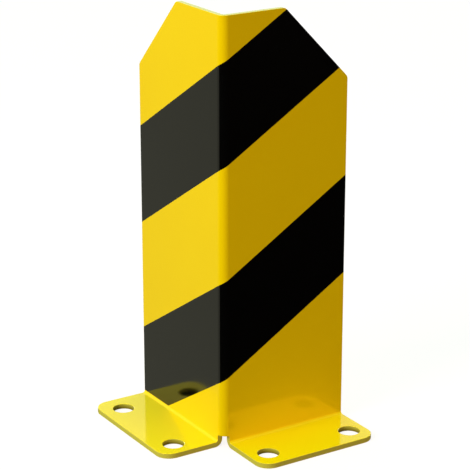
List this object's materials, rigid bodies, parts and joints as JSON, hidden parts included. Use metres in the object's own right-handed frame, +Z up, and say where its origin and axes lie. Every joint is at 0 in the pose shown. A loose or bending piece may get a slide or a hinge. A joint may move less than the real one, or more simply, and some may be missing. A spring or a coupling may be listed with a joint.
{
  "type": "rack column guard",
  "caption": "Folded steel corner guard for a rack upright: a tall angle with cut top corners and warning stripes, on outward feet with anchor bolt holes.",
  "frame": {"origin": "on the floor, at the middle of the rectangle of floor that the guard covers", "axes": "+Z up along the corner bend. The right wing runs along +X and its outer face looks to -Y. The left wing runs along +Y and its outer face looks to -X. So the outer corner points to -X and -Y, and the rack column stands on the +X +Y side"},
  "size_m": [0.189, 0.199, 0.4],
  "materials": {
    "yellow_powder_coat": "glossy yellow powder coat on steel sheet, with black stripes over the wings' outer faces"
  },
  "bodies": {
    "root": {"column_guard": "yellow_powder_coat"}
  },
  "joints": []
}
